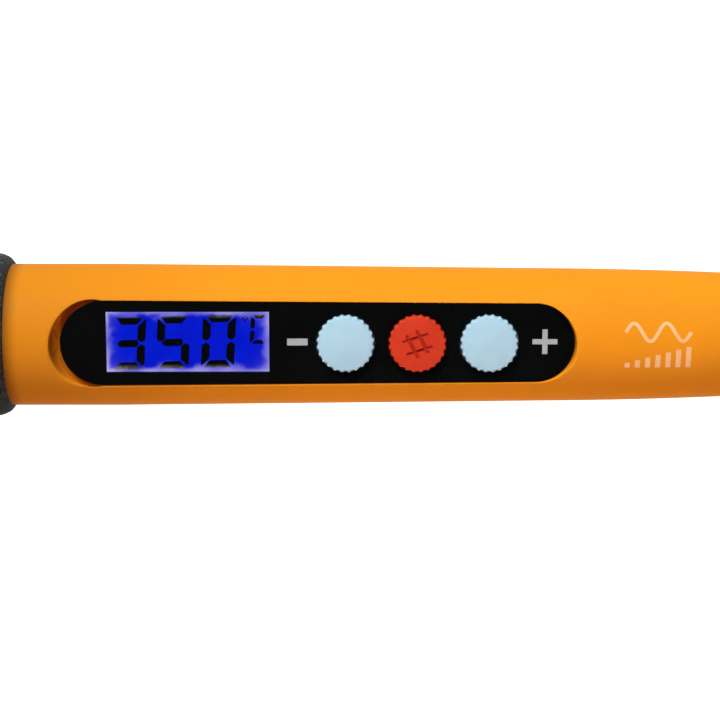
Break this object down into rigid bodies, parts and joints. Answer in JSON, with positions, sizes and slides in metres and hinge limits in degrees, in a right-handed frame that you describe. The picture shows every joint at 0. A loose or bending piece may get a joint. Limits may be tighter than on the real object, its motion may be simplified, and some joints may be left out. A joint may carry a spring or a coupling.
{
  "type": "soldering iron",
  "caption": "Hand soldering iron with an orange two-part handle, foam grip, lit temperature display, scalloped push buttons and a screwed-on barrel that holds a plain tip.",
  "frame": {"origin": "on the iron's long axis, at the middle of the foam grip", "axes": "+X towards the cord end, so the tip points to -X; +Z out of the control panel"},
  "size_m": [0.2652, 0.0278, 0.0278],
  "materials": {
    "orange_shell": "satin, fine moulded grain",
    "foam": "matt closed-cell sponge",
    "black_plastic": "satin",
    "panel_black": "satin gloss",
    "clear_window": "clear acrylic",
    "display_glass": "blue backlit display",
    "light_guide": "diffusing, with blue lamps at its ends",
    "tinned_pin": "tinned",
    "board_laminate": "solder mask",
    "switch_black": "moulded",
    "plunger_grey": "moulded",
    "button_blue": "satin",
    "button_red": "satin",
    "chip_epoxy": "moulded epoxy",
    "capacitor_can": "shrink sleeve on a can",
    "film_case": "moulded case",
    "resistor_body": "lacquered",
    "connector_nylon": "nylon",
    "terminal_green": "nylon",
    "lead_sleeving": "glass-fibre sleeving",
    "ceramic": "sintered",
    "spring_steel": "drawn wire",
    "zinc_screw": "zinc plated",
    "steel": "nickel plated",
    "stainless": "drawn tube, brushed round",
    "tip_iron": "iron and chrome plated, tinned point",
    "black_rubber": "moulded"
  },
  "bodies": {
    "handle": {"upper_shell": "orange_shell", "lower_shell": "orange_shell", "shell_screws": "zinc_screw", "foam_grip": "foam", "nose_ring": "black_plastic", "nipple": "steel", "heater_rod": "ceramic", "heater_base": "ceramic", "heater_leads": "lead_sleeving", "ground_spring": "spring_steel", "control_panel": "panel_black", "lcd_lens": "clear_window", "lcd_glass": "display_glass", "lcd_backlight": "light_guide", "lcd_pins": "tinned_pin", "lcd_bezel": "black_plastic", "circuit_board": "board_laminate", "board_screws": "zinc_screw", "switch_minus": "switch_black", "switch_set": "switch_black", "switch_plus": "switch_black", "microcontroller": "chip_epoxy", "smoothing_capacitor": "capacitor_can", "film_capacitor": "film_case", "triac": "chip_epoxy", "resistors": "resistor_body", "fuse": "ceramic", "heater_connector": "connector_nylon", "mains_terminal": "terminal_green", "cord_clamp": "black_plastic", "clamp_screws": "zinc_screw", "cord_gland": "black_rubber"},
    "barrel": {"tip_sleeve": "stainless", "soldering_tip": "tip_iron"},
    "nut": {"barrel_nut": "steel"},
    "key_minus": {"button_minus": "button_blue", "plunger_minus": "plunger_grey"},
    "key_set": {"button_set": "button_red", "plunger_set": "plunger_grey"},
    "key_plus": {"button_plus": "button_blue", "plunger_plus": "plunger_grey"}
  },
  "joints": [
    {"name": "press_minus", "type": "slide", "parent": "handle", "child": "key_minus", "axis": [0, 0, -1], "range_m": [0, 0.0003], "stiffness_N_per_m": 300, "springref_m": -0.001},
    {"name": "press_set", "type": "slide", "parent": "handle", "child": "key_set", "axis": [0, 0, -1], "range_m": [0, 0.0003], "stiffness_N_per_m": 300, "springref_m": -0.001},
    {"name": "press_plus", "type": "slide", "parent": "handle", "child": "key_plus", "axis": [0, 0, -1], "range_m": [0, 0.0003], "stiffness_N_per_m": 300, "springref_m": -0.001},
    {"name": "nut_turn", "type": "hinge", "parent": "barrel", "child": "nut", "pos_m": [-0.0343, 0, 0], "axis": [-1, 0, 0], "range_deg": [0, 1440]},
    {"name": "barrel_travel", "type": "slide", "parent": "handle", "child": "barrel", "axis": [-1, 0, 0], "range_m": [0, 0.004], "deforming": ["ground_spring"]}
  ],
  "couplings": [
    {"joint": "nut_turn", "follows": "barrel_travel", "rad_per_m": 6283.2}
  ]
}
